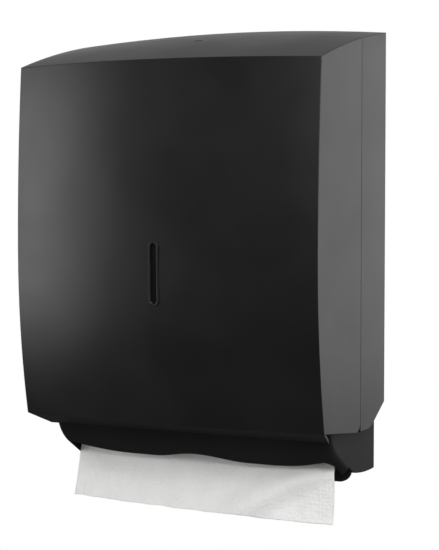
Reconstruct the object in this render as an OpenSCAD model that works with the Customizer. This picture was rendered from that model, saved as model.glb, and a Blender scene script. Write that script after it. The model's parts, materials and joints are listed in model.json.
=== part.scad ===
// Wall-mounted dispenser for folded paper towels.
// The wall lies in the plane y = 0, the front faces -Y and +Z is up.
// The origin is the middle of the four wall screws, on the back face.

/* [Body] */
// Outside width of the cover and the rear housing
body_w = 280; // [264:1:310]
// Distance from the wall to the front face's side edge at its fullest line
front_d = 135.6; // [130:0.2:150]
// How far the front face bows out at the middle
front_bow = 11.8; // [7:0.2:16]
// Height of the front face's fullest line
full_z = -75; // [-95:1:-55]
// Radius of the front face's profile above its fullest line
upper_r = 1950; // [1300:10:2600]
// Radius of the front face's profile below its fullest line
lower_r = 730; // [600:10:1000]
// Height of the front face's lower edge
foot_z = -213; // [-217:0.5:-209]
// Height of the top's side edges at the wall
top_z = 110; // [104:1:125]
// Rise of the arched top at the middle
top_crown = 5.8; // [4:0.2:8]
// Radius of the top's fall towards the front
top_fall_r = 713; // [620:1:850]
// How far behind the wall the top's fall begins
top_fall_y = 86; // [70:1:100]
// Thickness of the moulded walls
wall = 3; // [2.4:0.1:3.6]
// Distance from the wall to the parting line between housing and cover
part_d = 51; // [49:0.5:53]
// Gap at the parting line
part_gap = 0.5; // [0.3:0.1:1]
// How far the housing's locating lip reaches into the cover
lip_reach = 4; // [2:0.5:5]
// Thickness of the locating lip
lip_t = 1.5; // [1:0.1:2]
// Clearance between the locating lip and the cover
lip_gap = 0.8; // [0.5:0.1:1.2]
// Height of the ribs that hold the towels off the back plate
back_rib_h = 4; // [2:0.5:4.5]

/* [Wall screws] */
// Distance between the screw holes across the back plate
screw_dx = 200; // [180:1:216]
// Distance between the screw holes up the back plate
screw_dz = 140; // [120:1:150]
// Radius of the screw holes
screw_hole_r = 2.75; // [2:0.05:3.5]

/* [Hinge] */
// Distance from the wall to the hinge axis
hinge_d = 59; // [57.5:0.5:61]
// Height of the hinge axis
hinge_z = -212; // [-216:0.5:-208]
// Radius of the hinge pins
pin_r = 3; // [2:0.1:3.5]
// Running clearance of the pins in the cover
pin_play = 0.05; // [0.02:0.01:0.1]
// Radius of the pin heads
pin_head_r = 5; // [4:0.1:5.5]
// Thickness of the pin heads
pin_head_t = 1.4; // [1:0.1:1.6]
// Thickness of the hinge washers
washer_t = 1; // [0.6:0.1:1.5]

/* [Outlet tray] */
// How far the tray's sides stand in from the cover's sides
tray_inset = 9; // [8:0.5:10]
// Thickness of the tray's walls
tray_wall = 3; // [2.4:0.1:3.4]
// Radius of the apron, round the hinge axis
apron_r = 38; // [36:0.5:40]
// Angle over which the apron follows that radius, from level
apron_turn = 58; // [54:1:64]
// Depth of the apron's lower edge below the hinge axis
apron_drop = 38.5; // [37.5:0.5:40]
// Length of the straight run below the apron's round part, at its two ends
ear_l = 24; // [20:0.5:26]
// Radius of the apron's rounded ends, where it turns into the tray's sides
apron_end_r = 9; // [7:0.5:10]
// Clearance between the cover's chin and the apron
chin_gap = 2; // [1.5:0.1:3]
// Angle below level at which the chin ends
chin_turn = 18; // [14:1:22]
// Height of the tray's rim above the hinge axis
tray_rise = 5; // [4:0.5:6]
// Depth of the tray's sides below the hinge axis
tray_drop = 46.2; // [45:0.2:49]
// Radius of the tray's lower side edge
belly_r = 165; // [150:1:200]
// Distance from the wall to the lowest point of that edge
belly_d = 15; // [10:1:20]
// Distance from the wall to the rear lip's front face
rear_lip_d = 44; // [42:0.5:45]
// Depth of the rear lip below the hinge axis
rear_lip_drop = 52; // [48:0.5:56]
// Radius of the rear lip's lower corners
rear_lip_r = 10; // [6:0.5:14]
// Depth of the throat's front edge, from the wall
throat_d = 70; // [68:0.5:73]
// Height of the thumb notch in the apron's lower edge
notch_h = 5.5; // [3:0.5:7]
// Half the width of the thumb notch
notch_w = 45; // [35:1:55]
// How far the apron's lower edge lifts at its two ends
wave_h = 10; // [6:0.5:11]
// Width of each lifted end
wave_w = 60; // [45:1:65]
// Depth of the floor ledges below the hinge axis
ledge_drop = 2; // [1:0.5:3]
// Thickness of the floor ledges
ledge_t = 2.5; // [2:0.1:3]
// Height of the ribs on the floor ledges
ledge_rib_h = 6; // [4.5:0.5:6.5]

/* [Towels] */
// Width of a towel
towel_w = 250; // [238:1:251]
// Depth of a folded towel, which is one panel of it
fold_d = 88; // [80:1:88]
// Height of the stack of towels
stack_h = 90; // [40:5:140]
// Thickness of one bundle in the stack
bundle_h = 15; // [7.5:0.5:30]
// Thickness of the hanging towel
towel_t = 0.8; // [0.5:0.1:1.2]
// Angle by which the hanging towel leans out from the wall
towel_lean = 14; // [12:0.5:15]
// Depth of the hanging towel's soft folds
towel_fold_h = 2; // [0:0.1:3]
// Space between the stack and each paper guide
guide_gap = 0.8; // [0.4:0.1:1]
// Thickness of the paper guides
guide_t = 1.8; // [1.2:0.1:2]
// Height of the paper guides
guide_h = 173; // [150:1:190]

/* [Sight window] */
// Height of the window's middle
window_z = -89; // [-105:1:-75]
// Length of the window's bezel
window_h = 53; // [40:1:70]
// Width of the window's bezel
window_w = 9.6; // [8:0.2:14]
// Width of the bezel's rim
bezel_rim = 2; // [1.4:0.1:2.4]
// Depth of the bezel's seat in the front face
bezel_seat = 1.2; // [0.8:0.1:1.4]
// How far the bezel stands proud
bezel_proud = 0.8; // [0.5:0.1:1.2]

/* [Lock] */
// Distance from the wall to the key hole
lock_d = 72; // [71:0.5:78]
// Radius of the key hole
key_r = 3.5; // [3.2:0.1:4]
// Travel of the latch when the key is pushed in
latch_travel = 5; // [4:0.5:6]
// How far the latch's tooth reaches up behind the strike
latch_bite = 4.5; // [3.5:0.1:5]
// Half the outside width of the lock case
case_w = 10; // [9:0.5:12]
// Thickness of the lock case's walls
case_t = 2; // [1.5:0.1:2.5]
// Height of the bosses that carry the lock case
boss_h = 8; // [6:0.5:10]
// Thickness of the strike plate
strike_t = 1.5; // [1:0.1:2]
// Radius of the spring's wire
wire_r = 0.4; // [0.3:0.05:0.5]
// Radius of the spring, at the middle of its wire
coil_r = 3.4; // [3:0.1:4]
// Number of turns in the spring
coil_turns = 5; // [3:0.5:6]

/* [Fasteners] */
// Radius of the screws' shanks
shank_r = 1.6; // [1.2:0.1:1.8]
// Radius of the screws' heads
head_r = 3.2; // [2.6:0.1:3.4]
// Height of the screws' heads
head_t = 1.8; // [1.4:0.1:2]
// Clearance round a screw or a pin in the piece that holds it
hold_gap = 0.05; // [0.02:0.01:0.1]

/* [Hidden] */
$fn = 96;

// Fineness of the large shallow curves
fine = 256;
// Small clearance between parts that sit against each other
seat_gap = 0.2;
// Overrun of cuts past the faces that they open
over = 5;
// Clearance round a screw in the piece that it clamps
screw_gap = 0.3;

half_w = body_w / 2;
plan_r = (half_w * half_w + front_bow * front_bow) / (2 * front_bow);
form_d = front_d + front_bow;
bow_axis_y = plan_r - form_d;
bow_angle = asin((half_w + over) / (plan_r - form_d));
arch_r = (half_w * half_w + top_crown * top_crown) / (2 * top_crown);
arch_axis_z = top_z + top_crown - arch_r;
fall_centre_z = top_z + top_crown - sqrt(top_fall_r * top_fall_r - top_fall_y * top_fall_y);
form_h = top_z - foot_z + 60;
arch_angle = asin((half_w + over) / (arch_r - form_h));
high_z = top_z + top_crown + over;

// Height of the outer top at the middle, y from the wall
function top_mid(y) = fall_centre_z + sqrt(top_fall_r * top_fall_r - pow(y - top_fall_y, 2));
// How far the front face has fallen back at a height
function front_fall(z) =
    let (r = z > full_z ? upper_r : lower_r) r - sqrt(r * r - pow(z - full_z, 2));

hinge_y = -hinge_d;
heel_r = hinge_d - part_d;
rear_front_y = -(part_d - part_gap);
corner_y = front_fall(foot_z) - front_d;
tray_x = half_w - tray_inset;
tray_in_x = tray_x - tray_wall;
chin_r = apron_r + chin_gap;
chin_y = hinge_y - chin_r * cos(chin_turn);
chin_z = hinge_z - chin_r * sin(chin_turn);
cover_skin = 1.2;
hinge_boss_r = heel_r - 1.5;
boss_r = 4;

ledge_z = hinge_z - ledge_drop;
rest_z = ledge_z + ledge_rib_h;
stack_z = rest_z + 0.3;
rim_z = hinge_z + tray_rise;
apron_end_z = hinge_z - apron_drop;
// How far the tray's side plates reach from the hinge axis, towards the apron and towards the front
side_n = apron_r - apron_end_r;
side_front = side_n * 0.45;
belly_z = hinge_z - tray_drop;
outlet_x = tray_in_x - 1;
tray_back_y = -(wall + 0.5);
side_back = 0.3;

// Seats on the housing that carry the tray
seat_x = tray_in_x - 33;
seat_w = 16;
seat_d = 17;
seat_h = 12;
tray_screw_y = -(wall + seat_d * 0.55);

guide_x = towel_w / 2 + guide_gap;
guide_z = rest_z + 3;
guide_foot = 9;
guide_boss_h = 3;
guide_screw_x = guide_x + guide_t - guide_foot * 0.6;
guide_screw_z = [guide_z + guide_h * 0.2, guide_z + guide_h * 0.8];
// Distance from the wall to the stack, which lies against the guides' feet
stack_back = wall + guide_boss_h + guide_t + seat_gap;

// The lock is stacked under its seat, the underside of its two bosses
lock_y = -lock_d;
lock_z = top_mid(lock_y) - wall - boss_h;
lock_screw_x = case_w + 8;
latch_rest_gap = 0.2;
latch_top = lock_z - case_t - latch_rest_gap;
latch_h = 9.8;
latch_low = latch_top - latch_h;
arm_t = 4;
arm_x = 4;
lip_y = lock_y + case_w + 1;
tooth_y = lip_y + strike_t + 0.5;
tooth_t = 3.5;
tooth_top = latch_top - 0.3;
tongue_z = tooth_top + 0.5;
lip_low_z = tooth_top - latch_bite;
coil_len = 12;
cap_z = latch_low - coil_len;
strike_x = 14;
strike_screw_x = 9;
strike_screw_y = -33;
strike_boss_h = 5;
riser_y = -46;
strike_flange_z = top_mid(strike_screw_y) - wall - strike_boss_h;

// The window's frame leans with the front face between its two ends
function front_mid(z) = front_fall(z) - form_d;
window_low_y = front_mid(window_z - window_h / 2);
window_high_y = front_mid(window_z + window_h / 2);
window_y = (window_low_y + window_high_y) / 2;
window_tilt = atan((window_low_y - window_high_y) / window_h);

// The hanging towel follows one leaning plane through the throat
towel_top_z = rest_z - 0.5;
towel_mid_y = hinge_y + 2;
towel_mid_z = hinge_z - 40;
function towel_y(z) = towel_mid_y + (z - towel_mid_z) * tan(towel_lean);

body_black = [0.13, 0.13, 0.13];
tray_black = [0.1, 0.1, 0.1];
smoke = [0.05, 0.05, 0.06];
steel = [0.72, 0.73, 0.75];
nylon = [0.85, 0.84, 0.8];
paper = [0.95, 0.95, 0.94];

// An outline in (y, z), drawn out along x to the width w about the middle
module across(w) {
    translate([-w / 2, 0, 0])
        rotate([90, 0, 90])
            linear_extrude(w)
                children();
}

// An upright slot outline, round at both ends
module slot_outline(w, h) {
    square([w, h - w], center = true);
    for (s = [-1, 1])
        translate([0, s * (h - w) / 2])
            circle(w / 2);
}

// A round bar along x, from x0 for a length
module bar_x(x0, length, r) {
    translate([x0, 0, 0])
        rotate([0, 90, 0])
            cylinder(h = length, r = r);
}

// The cross in a screw's head, from z = 0 up
module cross_recess() {
    for (a = [0, 90])
        rotate([0, 0, a])
            translate([-head_r * 0.6, -head_r * 0.12, 0])
                cube([head_r * 1.2, head_r * 0.24, head_t]);
}

// A pan-head screw pointing down, its seat at z = 0
module screw(length) {
    difference() {
        union() {
            cylinder(h = head_t, r = head_r);
            translate([0, 0, -length])
                cylinder(h = length + head_t / 2, r = shank_r);
        }
        translate([0, 0, head_t * 0.45])
            cross_recess();
    }
}

// A countersunk screw pointing down, its head flush with z = 0
module flat_screw(length) {
    difference() {
        union() {
            translate([0, 0, -head_t])
                cylinder(h = head_t, r1 = shank_r, r2 = head_r);
            translate([0, 0, -length])
                cylinder(h = length - head_t / 2, r = shank_r);
        }
        translate([0, 0, head_t * -0.5])
            cross_recess();
    }
}

// Everything behind the bowed front face, moved in by inset
module front_form(inset) {
    translate([0, bow_axis_y, 0])
        rotate([0, 0, 270 - bow_angle])
            rotate_extrude(angle = 2 * bow_angle, $fn = fine) {
                intersection() {
                    translate([plan_r - upper_r, full_z])
                        circle(upper_r - inset, $fn = fine);
                    translate([plan_r - form_d, full_z])
                        square([form_d, form_h]);
                }
                intersection() {
                    translate([plan_r - lower_r, full_z])
                        circle(lower_r - inset, $fn = fine);
                    translate([plan_r - form_d, full_z - form_h])
                        square([form_d, form_h]);
                }
            }
}

// Everything below the arched, falling top, moved in by inset
module top_form(inset) {
    translate([0, 0, arch_axis_z])
        rotate([-90, 0, 0])
            rotate([0, 0, 270 - arch_angle])
                rotate_extrude(angle = 2 * arch_angle, $fn = fine)
                    intersection() {
                        translate([fall_centre_z - arch_axis_z, top_fall_y])
                            circle(top_fall_r - inset, $fn = fine);
                        translate([arch_r - form_h, -form_d - over])
                            square([form_h + 4 * over, form_d + 2 * over]);
                    }
}

// The cover's outer or inner form, up to the depth rear_y
module cover_form(inset, rear_y) {
    intersection() {
        front_form(inset);
        top_form(inset);
        translate([inset - half_w, -form_d - over, foot_z - 2 * over])
            cube([body_w - 2 * inset, rear_y + form_d + over, form_h]);
    }
}

// The cover from the side: lower edge, heel round the hinge, straight rear edge
module cover_side() {
    polygon([
        [-form_d - over, foot_z], [corner_y, foot_z], [hinge_y, hinge_z - heel_r],
        [hinge_y, high_z], [-form_d - over, high_z]
    ]);
    translate([hinge_y, hinge_z])
        circle(heel_r);
    translate([hinge_y, hinge_z])
        square([heel_r, high_z - hinge_z]);
}

// The turned-under lower edge of the cover, which sweeps past the apron
module chin() {
    slope = (chin_z - foot_z) / (chin_y - corner_y);
    run = chin_y + 3 * over - corner_y;
    intersection() {
        front_form(0);
        across(body_w)
            difference() {
                polygon([
                    [-form_d, foot_z], [corner_y, foot_z],
                    [corner_y + run, foot_z + slope * run],
                    [corner_y + run, foot_z + slope * run + wall * 1.1],
                    [corner_y, foot_z + wall], [-form_d, foot_z + wall]
                ]);
                translate([hinge_y, hinge_z])
                    circle(chin_r);
            }
        translate([0, 0, chin_z - 2 * over])
            linear_extrude(form_h)
                polygon([
                    [-half_w, -form_d], [half_w, -form_d], [half_w, corner_y],
                    [tray_x, chin_y + over], [-tray_x, chin_y + over], [-half_w, corner_y]
                ]);
    }
}

module front_cover() {
    color(body_black)
        difference() {
            union() {
                difference() {
                    intersection() {
                        cover_form(0, -part_d);
                        across(body_w)
                            cover_side();
                    }
                    cover_form(wall, 0);
                }
                chin();
                // Bosses that turn on the hinge pins
                for (s = [-1, 1])
                    translate([0, hinge_y, hinge_z])
                        bar_x(s > 0 ? tray_x + washer_t : wall / 2 - half_w,
                            tray_inset - washer_t - wall / 2, hinge_boss_r);
                // Bosses that carry the lock case
                intersection() {
                    top_form(wall / 2);
                    for (s = [-1, 1])
                        translate([s * lock_screw_x, lock_y, lock_z])
                            cylinder(h = boss_h + wall, r = boss_r);
                }
            }
            // Blind hinge bores
            for (s = [-1, 1])
                translate([0, hinge_y, hinge_z])
                    bar_x(s > 0 ? tray_x : cover_skin - half_w,
                        tray_inset - cover_skin, pin_r + pin_play);
            for (s = [-1, 1])
                translate([s * lock_screw_x, lock_y, lock_z - over])
                    cylinder(h = boss_h + over - 0.5, r = shank_r + hold_gap);
            // Key hole
            translate([0, lock_y, lock_z])
                cylinder(h = boss_h + 3 * wall, r = key_r);
            // Sight window: seat of the bezel, then the slot
            window_place() {
                rotate([90, 0, 0])
                    translate([0, 0, -bezel_seat])
                        linear_extrude(2 * over)
                            slot_outline(window_w + seat_gap, window_h + seat_gap);
                rotate([90, 0, 0])
                    translate([0, 0, -2 * over])
                        linear_extrude(4 * over)
                            slot_outline(window_w - bezel_rim, window_h - bezel_rim);
            }
        }
}

// Moves a shape to the window's place on the front face, -Y outwards
module window_place() {
    translate([0, window_y, window_z])
        rotate([window_tilt, 0, 0])
            children();
}

module window_bezel() {
    color(body_black)
        window_place()
            rotate([90, 0, 0])
                translate([0, 0, -bezel_seat])
                    linear_extrude(bezel_seat + bezel_proud)
                        difference() {
                            slot_outline(window_w, window_h);
                            slot_outline(window_w - 2 * bezel_rim, window_h - 2 * bezel_rim);
                        }
}

module sight_window() {
    flange_t = 1.6;
    flange_w = 6;
    stem_w = window_w - bezel_rim - seat_gap;
    stem_h = window_h - bezel_rim - seat_gap;
    color(smoke)
        window_place()
            rotate([90, 0, 0]) {
                translate([0, 0, -wall - seat_gap - flange_t])
                    linear_extrude(wall + flange_t - bezel_seat)
                        slot_outline(stem_w, stem_h);
                translate([0, 0, -wall - seat_gap - flange_t])
                    linear_extrude(flange_t)
                        slot_outline(stem_w + flange_w, stem_h + flange_w);
            }
}

// The rear housing from the side, cut away at its lower back corner
module rear_side() {
    low_z = hinge_z - heel_r;
    cut_d = 30.5;
    cut_rise = 19.8;
    cut_r = 20;
    cut_angle = atan(cut_rise / cut_d);
    reach = cut_r * tan(cut_angle / 2);
    polygon([
        [rear_front_y, high_z], [rear_front_y, low_z], [-cut_d - reach, low_z],
        [-cut_d + reach * cos(cut_angle), low_z + reach * sin(cut_angle)],
        [0, low_z + cut_rise], [0, high_z]
    ]);
    intersection() {
        translate([-cut_d - reach, low_z + cut_r])
            circle(cut_r);
        translate([rear_front_y, low_z])
            square([part_d, cut_r]);
    }
}

// The housing's inner space, moved in from its outer faces by inset, between two depths
module housing_form(inset, y0, y1) {
    intersection() {
        top_form(inset);
        translate([inset - half_w, y0, foot_z - 4 * over])
            cube([body_w - 2 * inset, y1 - y0, form_h + 3 * over]);
    }
}

// A thin rim inside the parting line that keeps the cover in place
module locating_lip() {
    lip_in = wall + lip_gap;
    lip_low = hinge_z + heel_r + 4 * over;
    intersection() {
        union() {
            difference() {
                housing_form(lip_in, -part_d - lip_reach, rear_front_y + over);
                housing_form(lip_in + lip_t, -form_d, 0);
            }
            difference() {
                housing_form(wall - 0.5, rear_front_y, rear_front_y + over);
                housing_form(lip_in + lip_t, -form_d, 0);
            }
        }
        translate([-half_w, -form_d, lip_low])
            cube([body_w, form_d, form_h]);
    }
}

module rear_housing() {
    tongue_x = tray_in_x - 1;
    tongue_low = belly_z + 12;
    color(body_black)
        difference() {
            union() {
                difference() {
                    intersection() {
                        housing_form(0, rear_front_y, 0);
                        across(body_w)
                            rear_side();
                    }
                    housing_form(wall, -form_d, -wall);
                }
                locating_lip();
                // Back plate's tongue behind the tray
                translate([-tongue_x, -wall, tongue_low])
                    cube([2 * tongue_x, wall, ledge_z + 4 * over - tongue_low]);
                // Seats that the tray is screwed down on
                for (s = [-1, 1])
                    translate([s * seat_x - seat_w / 2, -wall - seat_d, ledge_z - ledge_t - seat_h])
                        cube([seat_w, seat_d + wall / 2, seat_h]);
                // Ribs behind the towels
                for (k = [-0.75, -0.3, 0.3, 0.75])
                    translate([k * screw_dx / 2 - 1, -wall - back_rib_h, rest_z + over])
                        cube([2, back_rib_h + wall / 2, screw_dz / 2 - rest_z]);
                // Bosses under the paper guides
                for (s = [-1, 1], z = guide_screw_z)
                    translate([s * guide_screw_x, -wall / 2, z])
                        rotate([90, 0, 0])
                            cylinder(h = guide_boss_h + wall / 2, r = boss_r);
                // Bosses above the strike
                intersection() {
                    top_form(wall / 2);
                    for (s = [-1, 1])
                        translate([s * strike_screw_x, strike_screw_y, strike_flange_z])
                            cylinder(h = strike_boss_h + wall, r = boss_r);
                }
            }
            // Wall screw holes
            for (x = [-1, 1], z = [-1, 1])
                translate([x * screw_dx / 2, over, z * screw_dz / 2])
                    rotate([90, 0, 0])
                        cylinder(h = wall + 2 * over, r = screw_hole_r);
            for (s = [-1, 1])
                translate([s * seat_x, tray_screw_y, ledge_z - ledge_t - seat_h + 2])
                    cylinder(h = seat_h, r = shank_r + hold_gap);
            for (s = [-1, 1], z = guide_screw_z)
                translate([s * guide_screw_x, -0.8, z])
                    rotate([90, 0, 0])
                        cylinder(h = guide_boss_h + wall, r = shank_r + hold_gap);
            for (s = [-1, 1])
                translate([s * strike_screw_x, strike_screw_y, strike_flange_z - over])
                    cylinder(h = strike_boss_h + over + 1, r = shank_r + hold_gap);
        }
}

// Lower edge of the apron across the front: a thumb notch, two dips and lifted ends
function wave_z(x) =
    let (a = abs(x), e = (a - outlet_x + wave_w) / wave_w)
    apron_end_z
        + (a < notch_w ? notch_h * (1 + cos(180 * a / notch_w)) / 2 : 0)
        + (e > 0 ? wave_h * e * e : 0);

// What is cut away below that edge, with rounded corners
module outlet_cut() {
    steps = 48;
    corner = 6;
    end_x = outlet_x - corner;
    end_z = wave_z(end_x) - corner;
    low_z = hinge_z - apron_r - ear_l;
    rotate([90, 0, 0])
        linear_extrude(form_d)
            polygon(concat(
                    [for (i = [0 : steps])
                        let (x = end_x * (2 * i / steps - 1))
                        [x, wave_z(x)]],
                    [for (a = [75 : -15 : 0])
                        [end_x + corner * cos(a), end_z + corner * sin(a)]],
                    [[outlet_x, low_z], [-outlet_x, low_z]],
                    [for (a = [180 : -15 : 105])
                        [corner * cos(a) - end_x, end_z + corner * sin(a)]]
                ));
}

// Half a plan of the tray, out from the hinge axis: a straight front at n, sides at x, corners rounded by r
module rounded_front(n, x, r) {
    translate([0, -x])
        square([n - r, 2 * x]);
    translate([0, r - x])
        square([n, 2 * (x - r)]);
    for (s = [-1, 1])
        translate([n - r, s * (x - r)])
            circle(r);
}

// Section of the apron and the tray's sides, square to the apron
module apron_band() {
    difference() {
        rounded_front(apron_r, tray_x, apron_end_r);
        translate([-over, 0])
            rounded_front(apron_r - tray_wall + over, tray_in_x, apron_end_r - tray_wall);
    }
}

// Sets a form that is turned about z onto the hinge axis, from the end of the apron's round part upwards
module on_hinge() {
    translate([0, hinge_y, hinge_z])
        rotate([90 + apron_turn, 0, 0])
            rotate([0, -90, 0])
                children();
}

// The tray's side behind the apron, with its curved lower edge
module tray_side() {
    intersection() {
        translate([hinge_y - side_front, belly_z - over])
            square([hinge_d + side_front - side_back, rim_z - belly_z + 2 * over]);
        translate([hinge_y, hinge_z])
            rotate(apron_turn)
                translate([-side_n, -form_d])
                    square(2 * form_d);
        translate([-belly_d, belly_z + belly_r])
            circle(belly_r, $fn = fine);
    }
}

// The apron, round about the hinge axis and then straight, with the tray's sides
module tray_shell() {
    lift = 20;
    intersection() {
        on_hinge() {
            rotate_extrude(angle = apron_turn + lift)
                apron_band();
            rotate([90, 0, 0])
                linear_extrude(ear_l)
                    apron_band();
            for (s = [-1, 1])
                translate([0, 0, s > 0 ? tray_in_x : -tray_x])
                    linear_extrude(tray_wall)
                        mirror([0, 1])
                            rotate(180 - apron_turn)
                                translate([-hinge_y, -hinge_z])
                                    tray_side();
        }
        translate([-half_w, -form_d, rim_z - form_d])
            cube([body_w, form_d, form_d]);
    }
}

module outlet_tray() {
    mid_wall = tray_wall / 2;
    rib_w = 2;
    rib_pitch = (tray_in_x - 18) / 2;
    front_rib_l = 18;
    rear_rib_l = 24;
    color(tray_black)
        difference() {
            union() {
                difference() {
                    tray_shell();
                    outlet_cut();
                }
                // Floor ledges in front of the throat and behind it
                intersection() {
                    on_hinge()
                        rotate_extrude(angle = apron_turn)
                            rounded_front(apron_r - mid_wall, tray_x - mid_wall, apron_end_r - mid_wall);
                    translate([-tray_x, hinge_y - apron_r, ledge_z - ledge_t])
                        cube([2 * tray_x, apron_r + hinge_d - throat_d, ledge_t]);
                }
                translate([-tray_in_x - 1, -rear_lip_d, ledge_z - ledge_t])
                    cube([2 * tray_in_x + 2, rear_lip_d + tray_back_y, ledge_t]);
                // Ribs that carry the stack
                for (k = [-2 : 2]) {
                    translate([k * rib_pitch - rib_w / 2, -throat_d - front_rib_l, ledge_z - ledge_t / 2])
                        cube([rib_w, front_rib_l, ledge_rib_h + ledge_t / 2]);
                    translate([k * rib_pitch - rib_w / 2, -rear_lip_d, ledge_z - ledge_t / 2])
                        cube([rib_w, rear_rib_l, ledge_rib_h + ledge_t / 2]);
                }
                rear_lip();
                // Bosses that hold the hinge pins
                on_hinge()
                    for (s = [-1, 1])
                        translate([0, 0, s > 0 ? tray_in_x : -tray_x])
                            cylinder(h = tray_wall, r = hinge_boss_r);
            }
            for (s = [-1, 1])
                translate([0, hinge_y, hinge_z])
                    bar_x(s > 0 ? tray_in_x - over : -tray_x - over,
                        tray_wall + 2 * over, pin_r + hold_gap);
            for (s = [-1, 1])
                translate([s * seat_x, tray_screw_y, ledge_z - ledge_t - over])
                    cylinder(h = 3 * over, r = shank_r + screw_gap);
        }
}

// The lip behind the towel, rounded at its lower corners
module rear_lip() {
    lip_x = tray_in_x + 0.5;
    low_z = hinge_z - rear_lip_drop;
    translate([0, -rear_lip_d + tray_wall, 0])
        rotate([90, 0, 0])
            linear_extrude(tray_wall) {
                translate([-lip_x, low_z + rear_lip_r])
                    square([2 * lip_x, ledge_z - low_z - rear_lip_r]);
                translate([rear_lip_r - lip_x, low_z])
                    square([2 * (lip_x - rear_lip_r), 2 * rear_lip_r]);
                for (s = [-1, 1])
                    translate([s * (lip_x - rear_lip_r), low_z + rear_lip_r])
                        circle(rear_lip_r);
            }
}

// A fence beside the stack, with a foot behind the stack screwed to the back plate, on the side s
module paper_guide(s) {
    y0 = -wall - guide_boss_h;
    deep = stack_back + fold_d - 4;
    difference() {
        union() {
            translate([s * (guide_x + guide_t / 2), 0, 0])
                across(guide_t)
                    polygon([
                        [y0, guide_z], [-deep, guide_z], [-deep, guide_z + guide_h * 0.6],
                        [-deep * 0.55, guide_z + guide_h], [y0, guide_z + guide_h]
                    ]);
            translate([s > 0 ? guide_x + guide_t - guide_foot : -guide_x - guide_t, y0 - guide_t, guide_z])
                cube([guide_foot, guide_t, guide_h]);
        }
        for (z = guide_screw_z)
            translate([s * guide_screw_x, y0 - guide_t, z])
                rotate([90, 0, 0]) {
                    translate([0, 0, -head_t])
                        cylinder(h = head_t, r1 = shank_r + screw_gap, r2 = head_r + screw_gap);
                    translate([0, 0, -over])
                        cylinder(h = over, r = shank_r + screw_gap);
                }
    }
}

module paper_guide_left() {
    color(nylon)
        paper_guide(-1);
}

module paper_guide_right() {
    color(nylon)
        paper_guide(1);
}

// A Z-shaped steel plate under the housing's top, with a lip that the latch bites behind
module strike_plate() {
    flange_back = -24;
    color(steel)
        difference() {
            union() {
                translate([-strike_x, riser_y, strike_flange_z - strike_t])
                    cube([2 * strike_x, flange_back - riser_y, strike_t]);
                translate([-strike_x, riser_y, tongue_z])
                    cube([2 * strike_x, strike_t, strike_flange_z - tongue_z]);
                translate([-strike_x, lip_y, tongue_z])
                    cube([2 * strike_x, riser_y - lip_y + strike_t, strike_t]);
                translate([-strike_x, lip_y, lip_low_z])
                    cube([2 * strike_x, strike_t, tongue_z - lip_low_z + strike_t]);
            }
            for (s = [-1, 1])
                translate([s * strike_screw_x, strike_screw_y, strike_flange_z - 2 * over])
                    cylinder(h = 4 * over, r = shank_r + screw_gap);
        }
}

// A headed pin through the tray's side into the cover, on the side s
module hinge_pin(s) {
    tip = half_w - cover_skin - 0.3;
    color(steel)
        translate([0, hinge_y, hinge_z]) {
            bar_x(s > 0 ? tray_in_x - pin_head_t : -tip, tip - tray_in_x + pin_head_t, pin_r);
            bar_x(s > 0 ? tray_in_x - pin_head_t : -tray_in_x, pin_head_t, pin_head_r);
        }
}

module hinge_pin_left() {
    hinge_pin(-1);
}

module hinge_pin_right() {
    hinge_pin(1);
}

module hinge_washers() {
    color(nylon)
        for (s = [-1, 1])
            translate([0, hinge_y, hinge_z])
                difference() {
                    bar_x(s > 0 ? tray_x : -tray_x - washer_t + 0.1, washer_t - 0.1, hinge_boss_r);
                    bar_x(s > 0 ? tray_x - over : -tray_x - 2 * over, 3 * over, pin_r + hold_gap);
                }
}

module tray_screws() {
    color(steel)
        for (s = [-1, 1])
            translate([s * seat_x, tray_screw_y, ledge_z])
                screw(ledge_t + seat_h - 3);
}

module guide_screws() {
    color(steel)
        for (s = [-1, 1], z = guide_screw_z)
            translate([s * guide_screw_x, -wall - guide_boss_h - guide_t, z])
                rotate([90, 0, 0])
                    flat_screw(guide_t + guide_boss_h + wall - 1.2);
}

module strike_screws() {
    color(steel)
        for (s = [-1, 1])
            translate([s * strike_screw_x, strike_screw_y, strike_flange_z - strike_t])
                rotate([180, 0, 0])
                    screw(strike_t + strike_boss_h);
}

module lock_screws() {
    color(steel)
        for (s = [-1, 1])
            translate([s * lock_screw_x, lock_y, lock_z - case_t])
                rotate([180, 0, 0])
                    screw(case_t + boss_h - 1);
}

// Bundles of folded towels, round at their folded edges
module towel_stack() {
    color(paper)
        across(towel_w)
            for (z = [stack_z : bundle_h : stack_z + stack_h - bundle_h / 2]) {
                translate([-stack_back - fold_d + bundle_h / 2, z])
                    square([fold_d - bundle_h, bundle_h]);
                for (y = [-stack_back - bundle_h / 2, -stack_back - fold_d + bundle_h / 2])
                    translate([y, z + bundle_h / 2])
                        circle(bundle_h / 2);
            }
}

// A box under the key hole that guides the latch, open below and slotted behind
module lock_case() {
    flange_x = lock_screw_x + boss_r + 2;
    low_z = cap_z;
    slot_low = latch_low - latch_travel - 0.6;
    color(tray_black)
        difference() {
            union() {
                translate([-flange_x, lock_y - case_w, lock_z - case_t])
                    cube([2 * flange_x, 2 * case_w, case_t]);
                translate([-case_w, lock_y - case_w, low_z])
                    cube([2 * case_w, 2 * case_w, lock_z - low_z]);
            }
            translate([case_t - case_w, lock_y - case_w + case_t, low_z - over])
                cube([2 * (case_w - case_t), 2 * (case_w - case_t), lock_z - case_t - low_z + over]);
            translate([-arm_x - 0.6, lock_y, slot_low])
                cube([2 * arm_x + 1.2, 2 * case_w, latch_low + arm_t + 0.6 - slot_low]);
            translate([0, lock_y, lock_z - over])
                cylinder(h = 2 * over, r = key_r);
            for (s = [-1, 1])
                translate([s * lock_screw_x, lock_y, lock_z - over])
                    cylinder(h = 2 * over, r = shank_r + screw_gap);
        }
}

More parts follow.
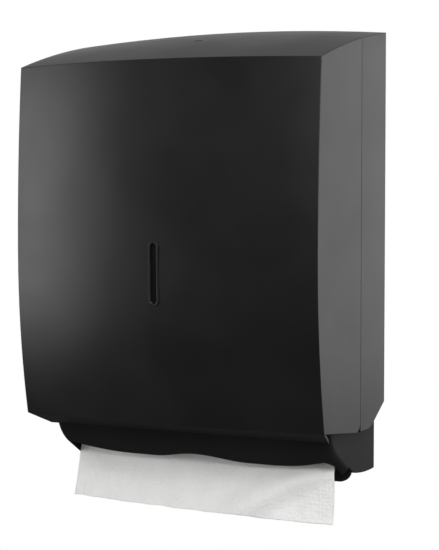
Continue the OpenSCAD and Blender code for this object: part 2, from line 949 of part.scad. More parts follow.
// The plate that closes the lock case, with a post that centres the spring
module spring_cap() {
    post_h = 4;
    color(tray_black) {
        translate([-case_w, lock_y - case_w, cap_z - case_t])
            cube([2 * case_w, 2 * case_w, case_t]);
        translate([0, lock_y, cap_z - case_t])
            cylinder(h = case_t + post_h, r = coil_r - wire_r - 0.8);
    }
}

// A slider with a post under the key hole and an arm whose tooth bites behind the strike
module lock_latch() {
    slide_gap = 0.5;
    body_x = case_w - case_t - slide_gap;
    arm_end = tooth_y + tooth_t;
    color(tray_black) {
        translate([-body_x, lock_y - body_x, latch_low])
            cube([2 * body_x, 2 * body_x, latch_h]);
        translate([0, lock_y, latch_low])
            cylinder(h = lock_z + boss_h * 0.7 - latch_low, r = key_r - 0.4);
        translate([-arm_x, lock_y, latch_low])
            cube([2 * arm_x, arm_end - lock_y, arm_t]);
        translate([-arm_x, tooth_y, latch_low])
            cube([2 * arm_x, tooth_t, tooth_top - latch_low]);
    }
}

// Helix of the latch's return spring, with its ends on the cap and the latch
coil_low = cap_z + wire_r + 0.1;
coil_rise = coil_len - 2 * wire_r - 0.2;
coil_rings = 12;
coil_sides = 8;
function coil_at(t) =
    [coil_r * cos(360 * t), lock_y + coil_r * sin(360 * t), coil_low + coil_rise * t / coil_turns];
function coil_ring(t) =
    [for (k = [0 : coil_sides - 1])
        let (b = 360 * k / coil_sides, r = coil_r + wire_r * cos(b))
        [r * cos(360 * t), lock_y + r * sin(360 * t), coil_at(t)[2] + wire_r * sin(b)]];
coil_count = round(coil_rings * coil_turns);

module lock_spring() {
    rings = [for (i = [0 : coil_count]) each coil_ring(coil_turns * i / coil_count)];
    last = coil_count * coil_sides;
    sides = [for (i = [0 : coil_count - 1], k = [0 : coil_sides - 1])
        let (a = i * coil_sides + k, b = i * coil_sides + (k + 1) % coil_sides)
        each [[a, b, a + coil_sides], [b, b + coil_sides, a + coil_sides]]];
    caps = [for (k = [1 : coil_sides - 2])
        each [[0, k + 1, k], [last, last + k, last + k + 1]]];
    turn_gap = min([for (i = [0 : coil_count - coil_rings])
        norm(coil_at(coil_turns * (i + coil_rings) / coil_count)
            - coil_at(coil_turns * i / coil_count)) - 2 * wire_r]);
    echo(spring_turn_gap = turn_gap);
    color(steel)
        polyhedron(points = rings, faces = concat(sides, caps), convexity = 8);
}

// Depth of the hanging towel's folds, growing towards its free end
function towel_wave(x, t) =
    towel_fold_h * t * t * (sin(2.2 * x + 40) * 0.6 + sin(4.1 * x - 70) * 0.4);

// One panel of the towel that hangs out of the throat, with soft folds towards its lower edge
module hanging_towel() {
    nx = 30;
    nz = 8;
    function towel_point(i, j, side) =
        let (x = towel_w * (i / nx - 0.5),
             t = j / nz,
             z = towel_top_z - fold_d * cos(towel_lean) * t)
        [x, towel_y(z) + towel_wave(x, t) + side * towel_t / 2, z];
    row = nx + 1;
    face = row * (nz + 1);
    points = [for (side = [-1, 1], j = [0 : nz], i = [0 : nx]) towel_point(i, j, side)];
    sheets = [for (j = [0 : nz - 1], i = [0 : nx - 1])
        let (a = j * row + i, b = a + 1, c = a + row, d = c + 1)
        each [[a, b, c], [b, d, c], [face + a, face + c, face + b], [face + b, face + c, face + d]]];
    ends = [for (j = [0 : nz - 1])
        let (a = j * row, c = a + row, b = a + nx, d = c + nx)
        each [[a, c, face + a], [face + a, c, face + c], [b, face + b, d], [face + b, face + d, d]]];
    edges = [for (i = [0 : nx - 1])
        let (a = i, b = i + 1, c = nz * row + i, d = c + 1)
        each [[a, face + a, b], [b, face + a, face + b], [c, d, face + c], [d, face + d, face + c]]];
    color(paper)
        polyhedron(points = points, faces = concat(sheets, ends, edges), convexity = 6);
}

rear_housing();
outlet_tray();
paper_guide_left();
paper_guide_right();
strike_plate();
hinge_pin_left();
hinge_pin_right();
hinge_washers();
tray_screws();
guide_screws();
strike_screws();
towel_stack();
front_cover();
window_bezel();
sight_window();
lock_case();
spring_cap();
lock_spring();
lock_screws();
lock_latch();
hanging_towel();
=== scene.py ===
import json
import math

import bpy
from mathutils import Euler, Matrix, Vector, noise


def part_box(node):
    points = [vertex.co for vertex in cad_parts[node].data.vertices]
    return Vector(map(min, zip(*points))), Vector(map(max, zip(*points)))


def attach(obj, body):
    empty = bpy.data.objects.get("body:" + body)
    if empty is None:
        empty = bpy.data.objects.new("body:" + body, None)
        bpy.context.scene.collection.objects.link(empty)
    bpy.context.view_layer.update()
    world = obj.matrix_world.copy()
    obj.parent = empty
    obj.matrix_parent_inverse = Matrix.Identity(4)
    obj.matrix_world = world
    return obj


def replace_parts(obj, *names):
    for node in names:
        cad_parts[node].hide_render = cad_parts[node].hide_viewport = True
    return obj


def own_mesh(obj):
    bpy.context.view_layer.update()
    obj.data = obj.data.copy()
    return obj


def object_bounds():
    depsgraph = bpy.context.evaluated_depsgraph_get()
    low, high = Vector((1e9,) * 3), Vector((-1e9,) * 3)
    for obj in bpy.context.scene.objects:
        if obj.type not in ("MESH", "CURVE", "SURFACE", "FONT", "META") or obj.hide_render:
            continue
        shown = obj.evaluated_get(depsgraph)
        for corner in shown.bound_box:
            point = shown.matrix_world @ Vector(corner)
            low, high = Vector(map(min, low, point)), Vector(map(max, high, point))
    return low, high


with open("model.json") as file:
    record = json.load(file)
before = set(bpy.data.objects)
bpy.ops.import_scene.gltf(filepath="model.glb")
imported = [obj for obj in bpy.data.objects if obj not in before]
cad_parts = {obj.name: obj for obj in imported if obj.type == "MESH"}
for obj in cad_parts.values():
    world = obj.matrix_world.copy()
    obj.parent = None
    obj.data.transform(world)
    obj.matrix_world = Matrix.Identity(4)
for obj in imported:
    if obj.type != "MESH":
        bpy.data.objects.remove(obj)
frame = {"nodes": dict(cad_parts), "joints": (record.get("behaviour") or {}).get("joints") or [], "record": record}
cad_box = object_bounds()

NODES = frame["nodes"]
MM = 0.001

# Camera, in the frame's metres: to the object's right, and a little above its middle
CAMERA_PLACE = (0.6785, -1.3099, -0.0170)
CAMERA_TURN = 28.0
CAMERA_DROP = 3.1
CAMERA_LENS = 109.47

# Soft boxes: azimuth from the front towards the object's right and elevation, in degrees, then
# distance, width and height, in metres, and brightness
SOFT_BOXES = {
    "left_box": (-54, 3, 1.5, 0.5, 0.85, 3.9),
    "key_box": (28, 25, 1.5, 0.8, 0.55, 8.2),
    "fill_box": (64, 34, 1.7, 0.8, 0.8, 3.0),
    "rear_box": (150, 4, 1.6, 0.9, 0.8, 0.38),
}

# Room: its soft light all round, and the levels that gloss sees, by the height of the direction
# from -1 to 1. A white backdrop is behind the object and a dark studio ahead, and both are pale
# overhead. The backdrop comes in over a range of the direction's depth, on the same scale.
ROOM_LIGHT = 0.34
BACKDROP = (
    (-0.9, 0.1), (-0.34, 0.02), (-0.12, 0.75), (0.08, 0.95), (0.38, 0.30), (0.65, 0.30), (0.95, 0.70),
)
STUDIO_AHEAD = ((-0.9, 0.1), (-0.45, 0.025), (-0.2, 0.025), (0.1, 0.05), (0.5, 0.05), (0.9, 0.7))
BACKDROP_DEPTH = (-0.2, 0.4)

# Floor, well below the wall-mounted object. Up to a radius the camera sees it with one share of the
# room's white, and from there on with more of it, up to all of it at the rim.
FLOOR_Z = -2.6
FLOOR_R = 3.0
FLOOR_SIDES = 96
FLOOR_COLOUR = (0.85, 0.85, 0.85)
FLOOR_ROUGH = 0.9
FADE_R = 0.2 * FLOOR_R
FADE_SHARE = 0.55

# Moulded plastic: its colours as moulded and where edges are rubbed, the paler edge colour partly
# painted highlight, its gloss, and its grain's size and depth
BODY_PLASTIC = {
    "colour": (0.0085, 0.0085, 0.0083),
    "worn_and_highlight": (0.03, 0.03, 0.029),
    "rough": 0.33,
    "shine": 0.5,
    "grain": 0.7 * MM,
    "depth": 0.02 * MM,
}
TRAY_PLASTIC = {
    "colour": (0.0125, 0.0125, 0.0123),
    "worn_and_highlight": (0.025, 0.025, 0.024),
    "rough": 0.55,
    "shine": 0.22,
    "grain": 0.5 * MM,
    "depth": 0.03 * MM,
}

# Rounded edges in the materials: their radii, and the cosines of how far the rounding turns a
# normal on an edge and on an open face
PLASTIC_EDGE_R = 0.9 * MM
NYLON_EDGE_R = 0.5 * MM
STEEL_EDGE_R = 0.2 * MM
EDGE_COS = 0.8
FACE_COS = 0.995
EDGE_SAMPLES = 8

# Front face of the cover, a profile turned about an upright axis: the height of its fullest line,
# and the radii of the profile above and below that. Facets that lean off it by less than the first
# angle, in radians, belong to it, and by more than the second don't.
BOW_AXIS_Y = 689 * MM
FULL_Z = -75 * MM
UPPER_R = 1950 * MM
LOWER_R = 730 * MM
ON_FRONT = 0.08
OFF_FRONT = 0.1

# Hanging towel, by the way down from its top edge: how far it leans forward, in degrees off plumb,
# at that edge under the stack, in the throat and below the lip, and where one lean turns into the
# next
LIP_S = 46 * MM
LEAN_TOP = -55
LEAN_THROAT = 20
LEAN_FREE = 17.5
CURL_S = (0, 14 * MM)
EASE_S = (LIP_S - 16 * MM, LIP_S + 24 * MM)

# Its place in the panel's box, the skew and sag of its edges, and the share by which its columns'
# lengths stray
TOWEL_INSET = 6.3 * MM
TOWEL_SHIFT = -0.8 * MM
TOWEL_SKEW = 2.0 * MM
TOWEL_SAG = 2.0 * MM
EDGE_STRAY = 0.006
EDGE_STRAY_L = 26 * MM
PAPER_T = 0.4 * MM
TOWEL_GRID = (200, 88)

# Its folds: how far forward each stands (H), and where across the sheet from -1 to 1 (U) and down
# it (S) each sets in or has its middle, with its width or length (W, L). The bow falls off to both
# edges, and the ridge runs aslant through a point.
FREE_S = LIP_S - 12 * MM
BOW_H, BOW_FALL = 2.0 * MM, 3
RIDGE_H = 5.0 * MM
RIDGE_POINT = (60 * MM, 73 * MM)
RIDGE_ACROSS = (0.5, 0.87)
RIDGE_RISE = 26 * MM
RIDGE_FALL = 16 * MM
RIDGE_DIP = 1.4
RIDGE_U = (-0.05, 0.45)
RIDGE_S = (LIP_S - 6 * MM, LIP_S + 12 * MM)
CORNER_H = 7.0 * MM
CORNER_U = (0.4, 0.95)
CORNER_S = (LIP_S - 24 * MM, LIP_S - 4 * MM)
TUCK_H = 1.8 * MM
TUCK_U, TUCK_W = -0.95, 0.05
HOLLOW_H = -2.6 * MM
HOLLOW_U, HOLLOW_W = -0.66, 0.22
HOLLOW_S, HOLLOW_L = LIP_S + 8 * MM, 9 * MM
CRUMPLE_H, CRUMPLE_L = 1.2 * MM, 17 * MM
CREASE_H, CREASE_L = 0.5 * MM, 6 * MM
CREASE_STRETCH = 0.6
HELD_SHARE = 0.25

# Stack of folded towels: the thickness of one, the room round the stack in its solid's box, how far
# towels slip and ripple, and how far their leaves thin and part at the open end
FOLD_T = 2.0 * MM
STACK_ROOM_X = 1.0 * MM
STACK_ROOM_Y = 1.2 * MM
SLIP_X = 0.8 * MM
SLIP_Y = 0.7 * MM
RIPPLE = 0.5 * MM
RIPPLE_X, RIPPLE_Y = 30 * MM, 60 * MM
LEAF_THIN = 0.1 * MM
LEAF_NOTCH = 5 * MM
FOLD_STEPS = 6
STACK_STATIONS = 25

# Inputs and output of a Mix node, by the kind of data that it mixes
MIX_SOCKETS = {"FLOAT": (2, 3, 0), "VECTOR": (4, 5, 1), "RGBA": (6, 7, 2)}


def joint(name):
    """One of the record's joints."""
    return next(j for j in frame["joints"] if j["name"] == name)


def smooth_step(low, high, x):
    """0 below low, 1 above high, and smooth between."""
    t = min(1.0, max(0.0, (x - low) / (high - low)))
    return t * t * (3 - 2 * t)


def hump(middle, width, x):
    """1 in the middle, and smoothly down to 0 within a few widths."""
    return math.exp(-(((x - middle) / width) ** 2))


def waver(x, y, z):
    """Smooth noise from -1 to 1. Fixed numbers in a call only pick a place in it."""
    return noise.noise(Vector((x, y, z)))


def add_piece(name, verts, faces, body, slot, *nodes):
    """A new smooth mesh that rides on a body and stands for CAD nodes."""
    mesh = bpy.data.meshes.new(name)
    mesh.from_pydata(verts, [], faces)
    mesh.shade_smooth()
    piece = bpy.data.objects.new(name, mesh)
    bpy.context.scene.collection.objects.link(piece)
    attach(piece, body)
    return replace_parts(piece, *nodes)


def grid_faces(columns, rows):
    """Quads of a grid whose points run row by row."""
    return [
        (r * columns + c, r * columns + c + 1, (r + 1) * columns + c + 1, (r + 1) * columns + c)
        for r in range(rows - 1)
        for c in range(columns - 1)
    ]


def loft_faces(first, stations, n):
    """Quads along a closed section of n points that is repeated station by station, and its two ends."""
    faces = []
    for i in range(stations - 1):
        for j in range(n):
            a, b = first + i * n + j, first + i * n + (j + 1) % n
            faces.append((a, b, b + n, a + n))
    last = first + (stations - 1) * n
    faces.append(tuple(first + j for j in reversed(range(n))))
    faces.append(tuple(last + j for j in range(n)))
    return faces


towel_lo, towel_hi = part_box("hanging_towel")
stack_lo, stack_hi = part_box("towel_stack")
towel_w = towel_hi.x - towel_lo.x
towel_l = (towel_lo.z - towel_hi.z) / joint("towel_pull")["axis"][2]
towel_top = Vector((TOWEL_SHIFT, towel_hi.y - TOWEL_INSET, towel_hi.z))


def towel_lean(s):
    """Angle off plumb, forward positive, at s down from the towel's top edge."""
    lean = LEAN_TOP + (LEAN_THROAT - LEAN_TOP) * smooth_step(*CURL_S, s)
    lean += (LEAN_FREE - LEAN_THROAT) * smooth_step(*EASE_S, s)
    return math.radians(lean)


def towel_swell(u, s):
    """How far folds and crumples push the sheet forward.

    u runs from -1 to 1 across the sheet, and s is the way down from its top edge.
    """
    x = u * towel_w / 2
    free = smooth_step(FREE_S, towel_l, s)
    bow = BOW_H * (1 - BOW_FALL * u * u) * free
    across = RIDGE_ACROSS[0] * (x - RIDGE_POINT[0]) + RIDGE_ACROSS[1] * (s - RIDGE_POINT[1])
    ridge = smooth_step(-RIDGE_RISE, 0, across) - RIDGE_DIP * smooth_step(0, RIDGE_FALL, across)
    ridge *= RIDGE_H * smooth_step(*RIDGE_U, u) * smooth_step(*RIDGE_S, s)
    corner = CORNER_H * smooth_step(*CORNER_U, u) * smooth_step(*CORNER_S, s)
    corner *= 1 - smooth_step(LIP_S, towel_l, s)
    tuck = TUCK_H * hump(TUCK_U, TUCK_W, u) * free
    hollow = HOLLOW_H * hump(HOLLOW_U, HOLLOW_W, u) * hump(HOLLOW_S, HOLLOW_L, s)
    loose = HELD_SHARE + (1 - HELD_SHARE) * free
    crumple = CRUMPLE_H * loose * waver(x / CRUMPLE_L, s / CRUMPLE_L, 0.3 / CRUMPLE_L)
    crease = CREASE_H * loose * waver(x / CREASE_L, CREASE_STRETCH * s / CREASE_L, 0.7 / CREASE_L)
    return bow + ridge + corner + tuck + hollow + crumple + crease


def build_hanging_towel():
    """The sheet, column by column down from the stack, turned a little in its own plane."""
    columns, rows = TOWEL_GRID
    step = towel_l / (rows - 1)
    aside = -2 * TOWEL_SKEW / towel_w
    points = [None] * (columns * rows)
    for c in range(columns):
        u = 2 * c / (columns - 1) - 1
        drop = TOWEL_SKEW * (1 + u) + TOWEL_SAG * (1 - u * u)
        place = towel_top + Vector((u * towel_w / 2, 0, -drop))
        pull = step * (1 + EDGE_STRAY * waver(u * towel_w / EDGE_STRAY_L, 3.1, 0.4))
        for r in range(rows):
            s = r * step
            lean = towel_lean(s)
            forward = Vector((0, -math.cos(lean), math.sin(lean)))
            points[r * columns + c] = place + towel_swell(u, s) * forward
            lean = towel_lean(s + step / 2)
            place = place + pull * Vector((aside, -math.sin(lean), -math.cos(lean)))
    towel = add_piece(
        "towel_sheet", points, grid_faces(columns, rows), "hanging_towel", "towel_paper", "hanging_towel"
    )
    skin = towel.modifiers.new("ply", "SOLIDIFY")
    skin.thickness = PAPER_T
    skin.offset = 0
    towel.visible_glossy = False
    return towel


def fold_profile(low, high, y_fold, y_open):
    """Section of one folded towel: a round fold at one end, and two leaves that part at the other."""
    r = (high - low) / 2
    side = 1 if y_fold > y_open else -1
    middle = (low + high) / 2
    turn = [math.pi * (k / FOLD_STEPS - 0.5) for k in range(FOLD_STEPS + 1)]
    fold = [(y_fold + side * r * (math.cos(a) - 1), middle + r * math.sin(a)) for a in turn]
    notch = (y_open + side * LEAF_NOTCH, middle)
    return fold + [(y_open, high - LEAF_THIN), notch, (y_open, low + LEAF_THIN)]


def build_stack():
    """The towels one on the other, with their folds to the front and to the back by turns."""
    layers = round((stack_hi.z - stack_lo.z) / FOLD_T)
    step = (stack_hi.z - stack_lo.z) / layers
    width = stack_hi.x - stack_lo.x - 2 * STACK_ROOM_X
    points, faces = [], []
    for k in range(layers):
        slip = SLIP_Y * waver(k * 1.7, 0.2, 4.1)
        fore, aft = stack_lo.y + STACK_ROOM_Y - slip, stack_hi.y - STACK_ROOM_Y - slip
        ends = (fore, aft) if k % 2 else (aft, fore)
        section = fold_profile(stack_lo.z + k * step, stack_lo.z + (k + 1) * step, *ends)
        faces += loft_faces(len(points), STACK_STATIONS, len(section))
        left = stack_lo.x + STACK_ROOM_X + SLIP_X * waver(k * 2.3, 7.7, 1.3)
        for i in range(STACK_STATIONS):
            x = left + width * i / (STACK_STATIONS - 1)
            for y, z in section:
                points.append((x, y + RIPPLE * waver(x / RIPPLE_X, k * 0.9, y / RIPPLE_Y), z))
    return add_piece("towel_layers", points, faces, "rear_housing", "towel_paper", "towel_stack")


def press_spring():
    """Gives the lock's spring a mesh of its own."""
    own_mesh(NODES["lock_spring"])


def opaque(colour):
    """A written colour with its alpha, or a socket as it is."""
    return colour if isinstance(colour, bpy.types.NodeSocket) else (*colour, 1)


class Nodes:
    """A node tree that grows one call at a time. A node's inputs are sockets to link or values to set."""

    def __init__(self, tree):
        self.tree = tree

    def add(self, kind, inputs=None, **settings):
        node = self.tree.nodes.new(kind)
        for key, value in settings.items():
            setattr(node, key, value)
        self.feed(node, inputs or {})
        return node

    def feed(self, node, inputs):
        """Links or sets a node's inputs, apart from those that are None."""
        for key, value in inputs.items():
            if isinstance(value, bpy.types.NodeSocket):
                self.tree.links.new(value, node.inputs[key])
            elif value is not None:
                node.inputs[key].default_value = value

    def calc(self, operation, a, b=0.0):
        return self.add("ShaderNodeMath", {0: a, 1: b}, operation=operation).outputs[0]

    def times(self, a, b):
        return self.calc("MULTIPLY", a, b)

    def vector(self, operation, a, b=(0, 0, 0)):
        return self.add("ShaderNodeVectorMath", {0: a, 1: b}, operation=operation).outputs["Vector"]

    def measure(self, operation, a, b=(0, 0, 0)):
        """A number that is worked out from vectors."""
        return self.add("ShaderNodeVectorMath", {0: a, 1: b}, operation=operation).outputs["Value"]

    def spread(self, value, low, high, start=0.3, end=0.7):
        """A value from start to end, by default the usual range of noise, spread over low to high."""
        inputs = {"Value": value, "From Min": start, "From Max": end, "To Min": low, "To Max": high}
        return self.add("ShaderNodeMapRange", inputs).outputs["Result"]

    def mix(self, kind, share, a, b):
        """A share of b with a, for data of a kind in MIX_SOCKETS."""
        first, second, result = MIX_SOCKETS[kind]
        inputs = {"Factor": share, first: a, second: b}
        return self.add("ShaderNodeMix", inputs, data_type=kind).outputs[result]

    def levels(self, value, pairs):
        """Levels by a value from -1 to 1, from pairs of value and level."""
        node = self.add("ShaderNodeValToRGB", {"Fac": self.spread(value, 0.0, 1.0, -1.0, 1.0)})
        stops = node.color_ramp.elements
        while len(stops) < len(pairs):
            stops.new(0.5)
        for stop, (at, level) in zip(stops, pairs):
            stop.position = (at + 1) / 2
            stop.color = (level, level, level, 1)
        return node.outputs["Color"]


class Finish(Nodes):
    """A material for the object's surfaces."""

    def __init__(self, name):
        self.material = bpy.data.materials.new(name)
        self.material.use_nodes = True
        super().__init__(self.material.node_tree)
        self.shader = self.tree.nodes["Principled BSDF"]
        self.place = self.add("ShaderNodeTexCoord").outputs["Object"]

    def noise(self, size, detail=3.0, stretch=None):
        """Noise whose features are about size metres across."""
        place = self.place
        if stretch:
            place = self.add("ShaderNodeMapping", {"Vector": place, "Scale": stretch}).outputs["Vector"]
        inputs = {"Vector": place, "Scale": 1 / size, "Detail": detail}
        return self.add("ShaderNodeTexNoise", inputs).outputs["Fac"]

    def blend(self, share, first, second):
        """A share of the second colour with the first."""
        return self.mix("RGBA", share, opaque(first), opaque(second))

    def front_normal(self):
        """The mesh's normal, but on the cover's front the true one of its curve.

        So reflections run evenly across that face, whose triangles are long.
        """
        height = self.add("ShaderNodeSeparateXYZ", {0: self.place}).outputs["Z"]
        height = self.calc("SUBTRACT", height, FULL_Z)
        upper = self.times(self.calc("MAXIMUM", height, 0.0), 1 / UPPER_R)
        lower = self.times(self.calc("MINIMUM", height, 0.0), 1 / LOWER_R)
        up = self.calc("ADD", upper, lower)
        out = self.calc("SQRT", self.calc("SUBTRACT", 1.0, self.times(up, up)))
        spoke = self.vector("SUBTRACT", self.place, (0, BOW_AXIS_Y, 0))
        spoke = self.vector("NORMALIZE", self.vector("MULTIPLY", spoke, (1, 1, 0)))
        outward = self.vector("MULTIPLY", spoke, out)
        curve = self.vector("ADD", outward, self.vector("MULTIPLY", up, (0, 0, 1)))
        to_world = {"vector_type": "NORMAL", "convert_from": "OBJECT", "convert_to": "WORLD"}
        curve = self.add("ShaderNodeVectorTransform", {0: curve}, **to_world).outputs[0]
        mesh = self.add("ShaderNodeNewGeometry").outputs
        near = self.measure("DOT_PRODUCT", mesh["True Normal"], curve)
        on_front = self.spread(near, 0.0, 1.0, math.cos(OFF_FRONT), math.cos(ON_FRONT))
        return self.mix("VECTOR", on_front, mesh["Normal"], curve)

    def rounded(self, radius, face=None):
        """The normal of edges rounded to a radius, and a value near 1 along them and 0 on open faces."""
        inputs = {"Radius": radius, "Normal": face}
        normal = self.add("ShaderNodeBevel", inputs, samples=EDGE_SAMPLES).outputs["Normal"]
        mesh = self.add("ShaderNodeNewGeometry").outputs["Normal"]
        near = self.measure("DOT_PRODUCT", normal, mesh)
        return normal, self.spread(near, 1.0, 0.0, EDGE_COS, FACE_COS)

    def bump(self, height, depth, strength=1.0, normal=None):
        inputs = {"Height": height, "Distance": depth, "Strength": strength, "Normal": normal}
        return self.add("ShaderNodeBump", inputs).outputs["Normal"]


def moulded_plastic(name, colour, worn_and_highlight, rough, shine, grain, depth, bowed=False):
    """Moulded plastic: fine grain, faint clouds, and rounded edges rubbed paler and smoother, the paler colour
    partly a painted highlight along the edges.
    """
    finish = Finish(name)
    normal, edge = finish.rounded(PLASTIC_EDGE_R, finish.front_normal() if bowed else None)
    clouds = finish.noise(60 * MM, detail=5.0)
    # Paler colour along the edges: partly rubbed wear, partly painted highlight.
    edge_mask = finish.times(edge, finish.spread(finish.noise(9 * MM), 0.1, 0.8))
    darker, paler = [c * 0.85 for c in colour], [c * 1.15 for c in colour]
    tint = finish.blend(finish.spread(clouds, 0.0, 1.0), darker, paler)
    gloss = finish.spread(clouds, rough - 0.03, rough + 0.03)
    normal = finish.bump(finish.noise(12 * MM, detail=2.0), 0.02 * MM, strength=0.6, normal=normal)
    finish.feed(finish.shader, {
        "Base Color": finish.blend(edge_mask, tint, worn_and_highlight),
        "Roughness": finish.calc("SUBTRACT", gloss, finish.times(edge_mask, 0.1)),
        "Specular IOR Level": shine,
        "Normal": finish.bump(finish.noise(grain, detail=2.0), depth, normal=normal),
    })
    return finish.material


def smoked_window():
    """Dark clear plastic with a little haze."""
    finish = Finish("smoked_window")
    haze = finish.noise(7 * MM, detail=4.0)
    finish.feed(finish.shader, {
        "Base Color": finish.blend(finish.spread(haze, 0.0, 1.0), (0.02, 0.02, 0.021), (0.03, 0.03, 0.031)),
        "Roughness": finish.spread(haze, 0.06, 0.14),
        "Transmission Weight": 0.7,
        "IOR": 1.49,
        "Normal": finish.bump(finish.noise(1.5 * MM), 0.004 * MM),
    })
    return finish.material


def nylon():
    """White nylon, cloudy and a little grimy along its edges."""
    finish = Finish("white_nylon")
    clouds = finish.noise(14 * MM, detail=4.0)
    normal, edge = finish.rounded(NYLON_EDGE_R)
    grime = finish.times(edge, finish.spread(finish.noise(3 * MM), 0.0, 0.6))
    tint = finish.blend(finish.spread(clouds, 0.0, 1.0), (0.70, 0.69, 0.64), (0.77, 0.76, 0.72))
    finish.feed(finish.shader, {
        "Base Color": finish.blend(grime, tint, (0.5, 0.49, 0.46)),
        "Roughness": finish.spread(clouds, 0.42, 0.52),
        "Subsurface Weight": 0.15,
        "Subsurface Scale": 2 * MM,
        "Normal": finish.bump(finish.noise(0.5 * MM, detail=2.0), 0.012 * MM, normal=normal),
    })
    return finish.material


def zinc_steel():
    """Zinc-plated steel, brushed, with bluish and yellowish clouds and edges rubbed bright."""
    finish = Finish("zinc_steel")
    clouds = finish.noise(6 * MM, detail=4.0)
    brush = finish.noise(2.5 * MM, stretch=(12, 1, 12))
    normal, edge_mask = finish.rounded(STEEL_EDGE_R)
    tint = finish.blend(finish.spread(clouds, 0.0, 1.0), (0.50, 0.51, 0.54), (0.64, 0.63, 0.58))
    finish.feed(finish.shader, {
        "Base Color": finish.blend(edge_mask, tint, (0.72, 0.72, 0.73)),
        "Metallic": 1.0,
        "Roughness": finish.spread(brush, 0.26, 0.44),
        "Normal": finish.bump(brush, 0.01 * MM, normal=normal),
    })
    return finish.material


def tissue():
    """Embossed towel paper: crepe lines down the sheet, a fine felt, and uneven dimples."""
    finish = Finish("towel_paper")
    crepe = finish.noise(2.6 * MM, stretch=(1, 0.2, 0.2))
    felt = finish.noise(0.5 * MM, detail=4.0)
    emboss = {"Vector": finish.place, "Scale": 1 / (3.0 * MM), "Randomness": 0.6}
    dimples = finish.add("ShaderNodeTexVoronoi", emboss, feature="SMOOTH_F1").outputs["Distance"]
    clouds = finish.noise(22 * MM, detail=4.0)
    normal = finish.bump(felt, 0.1 * MM, strength=0.8)
    normal = finish.bump(crepe, 0.9 * MM, normal=normal)
    finish.feed(finish.shader, {
        "Base Color": finish.blend(finish.spread(clouds, 0.0, 1.0), (0.87, 0.87, 0.86), (0.93, 0.93, 0.92)),
        "Roughness": finish.spread(felt, 0.85, 0.98),
        "Specular IOR Level": 0.25,
        "Sheen Weight": 0.15,
        "Sheen Roughness": 0.5,
        "Normal": finish.bump(dimples, 0.7 * MM, normal=normal),
    })
    return finish.material


def dress(objects_by_slot):
    """Gives every node and piece the finish of its slot, and the cover the one that knows its front."""
    front = moulded_plastic("front_black", **BODY_PLASTIC, bowed=True)
    finishes = {
        "body_black": moulded_plastic("body_black", **BODY_PLASTIC),
        "tray_black": moulded_plastic("tray_black", **TRAY_PLASTIC),
        "smoked_window": smoked_window(),
        "white_nylon": nylon(),
        "steel": zinc_steel(),
        "towel_paper": tissue(),
    }
    for slot, objects in objects_by_slot.items():
        for item in objects:
            item.data.materials.clear()
            item.data.materials.append(front if item == NODES["front_cover"] else finishes[slot])


def direction(azimuth, elevation):
    """Unit vector: azimuth 0 is the front, positive towards the object's right, in degrees."""
    a, e = math.radians(azimuth), math.radians(elevation)
    return Vector((math.sin(a) * math.cos(e), -math.cos(a) * math.cos(e), math.sin(e)))


def build_lights():
    """Soft boxes round the object, turned to its middle and out of the camera's sight."""
    target = (cad_box[0] + cad_box[1]) / 2
    for name, (azimuth, elevation, distance, width, height, brightness) in SOFT_BOXES.items():
        lamp = bpy.data.lights.new(name, "AREA")
        lamp.shape, lamp.size, lamp.size_y = "RECTANGLE", width, height
        lamp.energy = brightness * math.pi * width * height
        box = bpy.data.objects.new(name, lamp)
        box.location = target + distance * direction(azimuth, elevation)
        box.rotation_euler = direction(azimuth, elevation).to_track_quat("Z", "Y").to_euler()
        box.visible_camera = False
        bpy.context.scene.collection.objects.link(box)


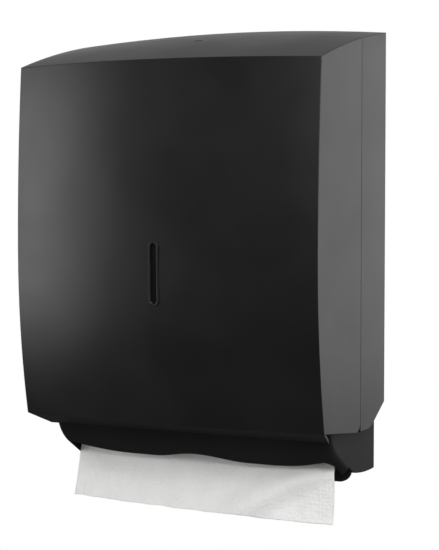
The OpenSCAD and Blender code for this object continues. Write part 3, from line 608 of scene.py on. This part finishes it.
def build_world():
    """The room: white to the camera and through glass, backdrop and studio to gloss, else soft light."""
    world = bpy.data.worlds.new("studio")
    world.use_nodes = True
    bpy.context.scene.world = world
    room = Nodes(world.node_tree)
    rays = room.add("ShaderNodeLightPath").outputs
    facing = room.add("ShaderNodeTexCoord").outputs["Generated"]
    look = room.add("ShaderNodeSeparateXYZ", {0: facing}).outputs
    behind = room.spread(look["Y"], 0.0, 1.0, *BACKDROP_DEPTH)
    ahead, backdrop = (room.levels(look["Z"], pairs) for pairs in (STUDIO_AHEAD, BACKDROP))
    around = room.mix("FLOAT", behind, ahead, backdrop)
    lit = room.mix("FLOAT", rays["Is Glossy Ray"], ROOM_LIGHT, around)
    seen = room.calc("MAXIMUM", rays["Is Camera Ray"], rays["Is Transmission Ray"])
    strength = room.mix("FLOAT", seen, lit, 1.0)
    room.feed(world.node_tree.nodes["Background"], {"Color": (1, 1, 1, 1), "Strength": strength})


def build_floor():
    """A pale round floor that fades to the white of the room at its rim."""
    middle = Vector((0, 0, FLOOR_Z))
    rim = [middle + FLOOR_R * direction(360 * k / FLOOR_SIDES, 0) for k in range(FLOOR_SIDES)]
    mesh = bpy.data.meshes.new("floor")
    mesh.from_pydata(rim, [], [tuple(range(FLOOR_SIDES))])
    floor = bpy.data.objects.new("floor", mesh)
    bpy.context.scene.collection.objects.link(floor)
    floor.visible_glossy = False
    finish = Finish("pale_floor")
    radius = finish.measure("LENGTH", finish.vector("MULTIPLY", finish.place, (1, 1, 0)))
    camera = finish.add("ShaderNodeLightPath").outputs["Is Camera Ray"]
    fade = finish.times(camera, finish.spread(radius, FADE_SHARE, 1.0, FADE_R, FLOOR_R))
    finish.feed(finish.shader, {"Base Color": opaque(FLOOR_COLOUR), "Roughness": FLOOR_ROUGH})
    glow = finish.add("ShaderNodeEmission", {"Strength": 1.0})
    mix = finish.add("ShaderNodeMixShader", {0: fade, 1: finish.shader.outputs[0], 2: glow.outputs[0]})
    finish.feed(finish.tree.nodes["Material Output"], {"Surface": mix.outputs[0]})
    mesh.materials.append(finish.material)


def build_camera():
    """The camera at the photograph's viewing angle."""
    lens = bpy.data.cameras.new("camera")
    lens.lens = CAMERA_LENS
    camera = bpy.data.objects.new("camera", lens)
    camera.location = CAMERA_PLACE
    camera.rotation_euler = Euler((math.radians(90 - CAMERA_DROP), 0, math.radians(CAMERA_TURN)))
    bpy.context.scene.collection.objects.link(camera)
    bpy.context.scene.camera = camera


press_spring()
by_slot = {}
for part in frame["record"]["subparts"]:
    by_slot.setdefault(part["material_slot"], []).append(NODES[part["node"]])
by_slot["towel_paper"] += [build_hanging_towel(), build_stack()]
dress(by_slot)
build_floor()
build_lights()
build_world()
build_camera()
bpy.context.scene.view_settings.view_transform = "Standard"
